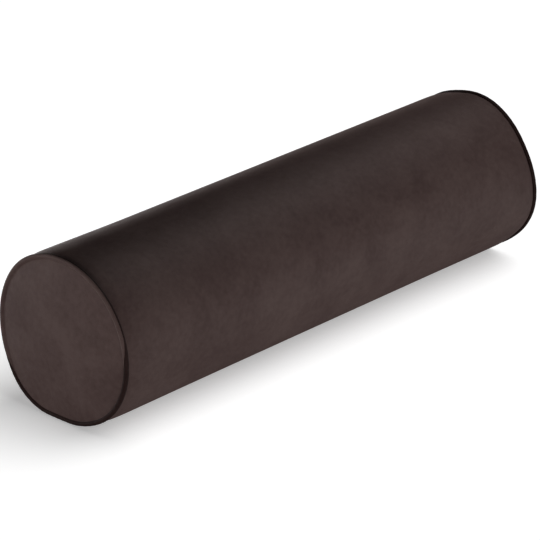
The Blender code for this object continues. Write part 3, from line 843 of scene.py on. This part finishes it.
def simulate_cloth(target, points, frames=20):
    """Blow the shell up against its pinned seams, with a little extra cloth beside them."""
    hold = target.vertex_groups.new(name="seams")
    held = [i for i, item in enumerate(target.data.attributes["held"].data) if item.value]
    hold.add(boundary_verts(target.data) + held, 1.0, "REPLACE")
    full = target.vertex_groups.new(name="fullness")
    for i, share in enumerate(seam_fullness(points)):
        if share > 0:
            full.add([i], share, "REPLACE")
    cloth = target.modifiers.new("cloth", "CLOTH")
    settings = cloth.settings
    settings.quality = 6
    settings.mass = 0.3
    settings.tension_stiffness = 15
    settings.compression_stiffness = 15
    settings.shear_stiffness = 8
    settings.bending_stiffness = 1.5
    settings.use_pressure = True
    settings.uniform_pressure_force = 12.0
    settings.vertex_group_mass = hold.name
    settings.effector_weights.gravity = 0.0
    settings.vertex_group_shrink = full.name
    settings.shrink_min = 0.0
    settings.shrink_max = -0.06
    scene = bpy.context.scene
    scene.frame_start = 1
    scene.frame_end = frames
    cloth.point_cache.frame_end = frames
    for number in range(1, frames + 1):
        scene.frame_set(number)
    evaluated = target.evaluated_get(bpy.context.evaluated_depsgraph_get())
    blown = np.array([v.co[:] for v in evaluated.data.vertices])
    target.modifiers.remove(cloth)
    scene.frame_set(1)
    return blown


def held_in(points, blown):
    """Cap how far the cloth has moved, and keep it out of the filling and off the floor."""
    move = blown - points
    far = np.linalg.norm(move, axis=1)
    move *= np.minimum(1.0, MOST_OUT / np.maximum(far, 1e-9))[:, None]
    on_tube = np.abs(points[:, 0]) < PIPING_REACH
    out = points - np.array([0.0, 0.0, AXIS_Z])
    out[:, 0] = 0.0
    out /= np.maximum(np.linalg.norm(out, axis=1), 1e-6)[:, None]
    outward = (move * out).sum(axis=1)
    short = np.where(on_tube, np.minimum(outward + MOST_IN, 0.0), 0.0)
    final = points + move - out * short[:, None]
    final[:, 2] = np.maximum(final[:, 2], FLOOR_GAP)
    return final


def cut_out(source, number):
    """One cloth of the shell as its own mesh data."""
    part = bmesh.new()
    part.from_mesh(source)
    layer = part.faces.layers.int["cloth"]
    others = [face for face in part.faces if face[layer] != number]
    bmesh.ops.delete(part, geom=others, context="FACES")
    return part


def fold_hem(part):
    """Turn the edges of the slot down and back under the cloth."""
    crease = part.edges.layers.float.new("crease_edge")
    reach = SLOT_END + 0.002
    edges = []
    for edge in part.edges:
        if edge.is_boundary and all(abs(vert.co.x) < reach for vert in edge.verts):
            edges.append(edge)
            edge[crease] = 0.6
    for drop, back in ((HEM_DROP, 0.0002), (0.0, HEM_BACK)):
        grown = bmesh.ops.extrude_edge_only(part, edges=edges)["geom"]
        for vert in (item for item in grown if isinstance(item, bmesh.types.BMVert)):
            turn = math.atan2(vert.co.z - AXIS_Z, vert.co.y)
            along = (turn - ZIP_TURN) * ROLL_RADIUS
            away = Vector((0.0, 0.0, 0.0))
            if abs(along) > SLOT_HALF * 0.8:
                away += Vector((0.0, -math.sin(turn), math.cos(turn))) * math.copysign(back, along)
            if abs(vert.co.x) > SLOT_END - 0.001:
                away.x += math.copysign(back, vert.co.x)
            vert.co += away - Vector((0.0, math.cos(turn), math.sin(turn))) * drop
        edges = [item for item in grown if isinstance(item, bmesh.types.BMEdge)]


def velvet(name, dark, light, gloss, sheen, tint):
    """Short-pile polyester velvet: soft bloom, mottled where the nap was brushed two ways."""
    made, tree = new_material(name)
    place = node(tree, "ShaderNodeTexCoord").outputs["Object"]
    wide = {"Scale": 16.0, "Detail": 3.0, "Roughness": 0.55, "Distortion": 0.5}
    nap = node(tree, "ShaderNodeTexNoise", wide, Vector=place).outputs[0]
    middling = {"Scale": 140.0, "Detail": 3.0, "Roughness": 0.6}
    rub = node(tree, "ShaderNodeTexNoise", middling, Vector=place).outputs[0]
    fine = {"Scale": 1300.0, "Detail": 3.0, "Roughness": 0.7}
    pile = node(tree, "ShaderNodeTexNoise", fine, Vector=place).outputs[0]
    rub_share = {"operation": "MULTIPLY_ADD", 1: 0.75}
    worn = node(tree, "ShaderNodeMath", rub_share, _0=rub, _2=nap).outputs[0]
    pile_share = {"operation": "MULTIPLY_ADD", 1: 0.5}
    mottled = node(tree, "ShaderNodeMath", pile_share, _0=pile, _2=worn).outputs[0]
    amount = node(tree, "ShaderNodeMapRange", {"From Min": 0.88, "From Max": 1.36}, Value=mottled).outputs[0]
    tones = {"data_type": "RGBA", 6: srgb(dark), 7: srgb(light)}
    colour = node(tree, "ShaderNodeMix", tones, _0=amount).outputs[2]
    relief = node(tree, "ShaderNodeBump", {"Strength": 0.45, "Distance": 0.0006}, Height=pile).outputs[0]
    finish = {
        "Roughness": 0.6,
        "Specular IOR Level": gloss,
        "Specular Tint": srgb("#cfb0aa"),
        "Sheen Weight": sheen,
        "Sheen Roughness": 0.35,
        "Sheen Tint": srgb(tint),
    }
    shader = node(tree, "ShaderNodeBsdfPrincipled", finish, Base_Color=colour, Normal=relief)
    node(tree, "ShaderNodeOutputMaterial", Surface=shader.outputs[0])
    return made


shell = bpy.data.meshes.new("cover_shell")
build = build_shell()
build.to_mesh(shell)
build.free()
shell_object = bpy.data.objects.new("cover_shell", shell)
bpy.context.collection.objects.link(shell_object)
shell_points = np.array([v.co[:] for v in shell.vertices])
blown_points = simulate_cloth(shell_object, shell_points)
shell.vertices.foreach_set("co", held_in(shell_points, blown_points).ravel())
shell.update()
bpy.data.objects.remove(shell_object)

# Polyester velvet, cut pile under 1 mm high: chocolate, with a warm bloom where light glances off it.
cover_velvet = velvet("cut_pile_polyester_velvet", "#4a3a38", "#5a4a47", 0.48, 0.14, "#bd9f96")
for number, name in enumerate(("cover_tube", "cover_left_end", "cover_right_end")):
    cloth = cut_out(shell, number)
    if number == 0:
        fold_hem(cloth)
    skin = show(name + "_cloth", cloth, cover_velvet)
    subdivision = skin.modifiers.new("subdivision", "SUBSURF")
    subdivision.levels = 1
    subdivision.render_levels = 1
    subdivision.boundary_smooth = "PRESERVE_CORNERS"
    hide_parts(name)

# Topstitching. One row of thread goes all round the zip's slot, through the folded edge of the
# cover and the tape below it.
STITCH_BACK = 0.0026
STITCH_STEP = 0.004
CORNER_CUT = 0.0012

tube_cloth = bpy.data.objects["cover_tube_cloth"]
cover_surface = BVHTree.FromObject(tube_cloth, bpy.context.evaluated_depsgraph_get())


def on_cover(x, along):
    """Point on the finished cover at a distance round from the zip's centre line."""
    turn = ZIP_TURN + along / ROLL_RADIUS
    start = round_point(x, turn, -0.01)
    hit = cover_surface.ray_cast(start, round_point(x, turn, 0.01) - start)[0]
    return hit or round_point(x, turn, 0.0)


wide = SLOT_HALF + STITCH_BACK
long = SLOT_END + STITCH_BACK
corners = ((-long, -wide), (long, -wide), (long, wide), (-long, wide))
outline = []
for (x, along), (next_x, next_along) in zip(corners, corners[1:] + corners[:1]):
    steps = max(4, round(math.hypot(next_x - x, next_along - along) / STITCH_STEP))
    for i in range(steps + 1):
        share = CORNER_CUT / math.hypot(next_x - x, next_along - along)
        share += (1 - 2 * share) * i / steps
        outline.append(on_cover(x + (next_x - x) * share, along + (next_along - along) * share))
values = {
    "Stitch length": 0.0029,
    "Gap": 0.0009,
    "Thread": 0.0006,
    "Unevenness": 0.04,
    "Seed": 7,
    "Material": thread,
}
stitches = grow("zip_topstitching", stitch_tree, values, line_mesh("stitch_path", outline, closed=True))

# Piping. A twisted cotton cord inside a folded bias strip of the same velvet, sewn into the seam
# all round each end. The strip is stretched over the cord, so it carries small slanting ripples.
RING_STEPS = 360
STRIP_SIDES = 20
CORD_SIDES = 12
CORD_RADIUS = 0.002


def piping_ring(side, radius, sides, ripple):
    """A closed ring that follows the seam, with a surface ripple given by a function."""
    ring = bmesh.new()
    loops = []
    for i in range(RING_STEPS):
        turn = 2 * math.pi * i / RING_STEPS
        loop = []
        for j in range(sides):
            angle = 2 * math.pi * j / sides
            reach = radius * ripple(turn, angle)
            x = side * (PIPING_REACH + reach * math.cos(angle))
            loop.append(ring.verts.new(roll_point(x, turn, PIPING_RADIUS - reach * math.sin(angle))))
        loops.append(loop)
    for i in range(RING_STEPS):
        here = loops[i]
        there = loops[(i + 1) % RING_STEPS]
        for j in range(sides):
            n = (j + 1) % sides
            ring.faces.new([here[j], here[n], there[n], there[j]])
    bmesh.ops.recalc_face_normals(ring, faces=ring.faces)
    return ring


def bias_ripple(turn, angle):
    """Slanting ripples of cloth on the bias."""
    return 1.0 + 0.02 * math.sin(64 * turn + 1.3 * angle + 2 * math.sin(9 * turn))


def twist_ripple(turn, angle):
    """Three strands twisted together."""
    return 1.0 - 0.12 * abs(math.sin(1.5 * (angle - 96 * turn)))


# The cover's velvet cut on the bias, made much darker than the cover: partly the bias-cut cloth's own tone
# and partly painted shade, standing in for the shade in the seam's groove where the piping lies bare.
piping_velvet_painted_shade = velvet("bias_cut_velvet", "#251918", "#2f2220", 0.15, 0.08, "#c4b2ac")

# Cotton cord, three strands laid: undyed and matt, with fine fibres.
cord_cotton, tree = new_material("laid_cotton_cord")
place = node(tree, "ShaderNodeTexCoord").outputs["Object"]
fibres = node(tree, "ShaderNodeTexNoise", {"Scale": 1400.0, "Detail": 3.0}, Vector=place).outputs[0]
tones = {"data_type": "RGBA", 6: srgb("#c9bfa9"), 7: srgb("#e4dccb")}
colour = node(tree, "ShaderNodeMix", tones, _0=fibres).outputs[2]
relief = node(tree, "ShaderNodeBump", {"Strength": 0.4, "Distance": 0.0002}, Height=fibres).outputs[0]
shader = node(tree, "ShaderNodeBsdfPrincipled", {"Roughness": 0.9}, Base_Color=colour, Normal=relief)
node(tree, "ShaderNodeOutputMaterial", Surface=shader.outputs[0])

for side, word in ((-1, "left"), (1, "right")):
    fold = piping_ring(side, PIPING_RADIUS, STRIP_SIDES, bias_ripple)
    # The piping's dark tone is partly painted shade of the seam's groove.
    strip = show(word + "_piping_strip_cloth", fold, piping_velvet_painted_shade)
    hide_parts(word + "_piping_strip")
    rope = piping_ring(side, CORD_RADIUS, CORD_SIDES, twist_ripple)
    cord = show(word + "_piping_cord_laid", rope, cord_cotton)
    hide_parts(word + "_piping_cord")

# Floor, light and camera. A pale translucent sweep has a wide soft light of its own. Soft panels
# light only the roll: one at the left, three in front and two behind, most of them low enough to
# shine up through the sweep, and a small high one past the far end.
FLOOR_HALF = 30
FLOOR_DROP = 0.0004

floor_corners = [(x * FLOOR_HALF, y * FLOOR_HALF, 0) for x, y in ((-1, -1), (1, -1), (1, 1), (-1, 1))]
floor_mesh = bpy.data.meshes.new("floor")
floor_mesh.from_pydata(floor_corners, [], [(0, 1, 2, 3)])
floor = bpy.data.objects.new("floor", floor_mesh)
bpy.context.collection.objects.link(floor)
floor.location.z = -FLOOR_DROP
floor.visible_shadow = False

# Matt white paint on the sweep. It glows a little to stay pale and throws less light up than it shows.
floor_paint, tree = new_material("white_sweep_paint")
seen = node(tree, "ShaderNodeLightPath").outputs["Is Camera Ray"]
tones = {"data_type": "RGBA", 6: srgb("#6c6c6c"), 7: srgb("#f2f2f2")}
colour = node(tree, "ShaderNodeMix", tones, _0=seen).outputs[2]
glow = node(tree, "ShaderNodeMath", {"operation": "MULTIPLY", 1: 0.4}, _0=seen).outputs[0]
finish = {"Roughness": 0.9, "Specular IOR Level": 0.1, "Emission Color": srgb("#ffffff")}
shader = node(tree, "ShaderNodeBsdfPrincipled", finish, Base_Color=colour, Emission_Strength=glow)
node(tree, "ShaderNodeOutputMaterial", Surface=shader.outputs[0])
floor_mesh.materials.append(floor_paint)
floor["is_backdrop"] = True

bpy.context.scene.view_settings.view_transform = "Standard"

# A white backdrop, which gives the roll almost no light.
world = bpy.data.worlds.new("studio")
bpy.context.scene.world = world
world.use_nodes = True
world.node_tree.nodes.clear()
seen = node(world.node_tree, "ShaderNodeLightPath").outputs["Is Camera Ray"]
levels = {"To Min": 0.014, "To Max": 0.95}
strength = node(world.node_tree, "ShaderNodeMapRange", levels, Value=seen).outputs[0]
sky = node(world.node_tree, "ShaderNodeBackground", {"Color": (1, 1, 1, 1)}, Strength=strength)
node(world.node_tree, "ShaderNodeOutputWorld", Surface=sky.outputs[0])


def direction(azimuth, elevation):
    """Unit vector away from the roll. Azimuth 0 looks from -Y and 90 from +X, in degrees."""
    a = math.radians(azimuth)
    e = math.radians(elevation)
    return Vector((math.sin(a) * math.cos(e), -math.cos(a) * math.cos(e), math.sin(e)))


def place_light(name, kind, power, azimuth, elevation, distance):
    """A light round the roll, aimed at it."""
    data = bpy.data.lights.new(name, kind)
    data.energy = power
    made = bpy.data.objects.new(name, data)
    bpy.context.collection.objects.link(made)
    away = direction(azimuth, elevation)
    made.location = away * distance + Vector((0, 0, 0.1))
    made.rotation_euler = away.to_track_quat("Z", "Y").to_euler()
    return made


overhead = place_light("overhead_on_floor", "SUN", 2.8, 45, 57, 3.0)
overhead.data.angle = math.radians(70)
floor_only = bpy.data.collections.new("floor_only")
floor_only.objects.link(floor)
overhead.light_linking.receiver_collection = floor_only
roll_only = bpy.data.collections.new("roll_only")
for piece in bpy.data.objects:
    if piece.type == "MESH" and piece is not floor:
        roll_only.objects.link(piece)
for name, power, azimuth, elevation, distance, size in (
    ("left_panel", 24, -92, 6, 3.0, 2.0),
    ("front_left_panel", 14, -30, -14, 2.6, 1.4),
    ("front_panel", 13.5, 0, -9, 2.6, 1.6),
    ("front_right_panel", 13, 45, -20, 2.6, 1.6),
    ("rear_panel", 30, 160, -8, 3.0, 1.6),
    ("rear_left_panel", 24, -150, -3, 3.0, 1.6),
    ("far_panel", 2.9, 84, 50, 1.15, 0.5),
):
    panel = place_light(name, "AREA", power, azimuth, elevation, distance)
    panel.data.shape = "RECTANGLE"
    panel.data.size = size
    panel.data.size_y = size * 0.6
    panel.light_linking.receiver_collection = roll_only

# A long lens, shifted a little off the roll's middle.
CAMERA_AZIMUTH = -47.33
CAMERA_ELEVATION = 23.2
CAMERA_DISTANCE = 4.068
camera_data = bpy.data.cameras.new("camera")
camera_data.lens = 229.98
camera_data.sensor_width = 36
camera_data.shift_x = -0.0163
camera_data.shift_y = -0.03889
camera = bpy.data.objects.new("camera", camera_data)
bpy.context.collection.objects.link(camera)
away = direction(CAMERA_AZIMUTH, CAMERA_ELEVATION)
camera.location = away * CAMERA_DISTANCE + Vector((0, 0, AXIS_Z))
camera.rotation_euler = away.to_track_quat("Z", "Y").to_euler()
bpy.context.scene.camera = camera

low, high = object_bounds()
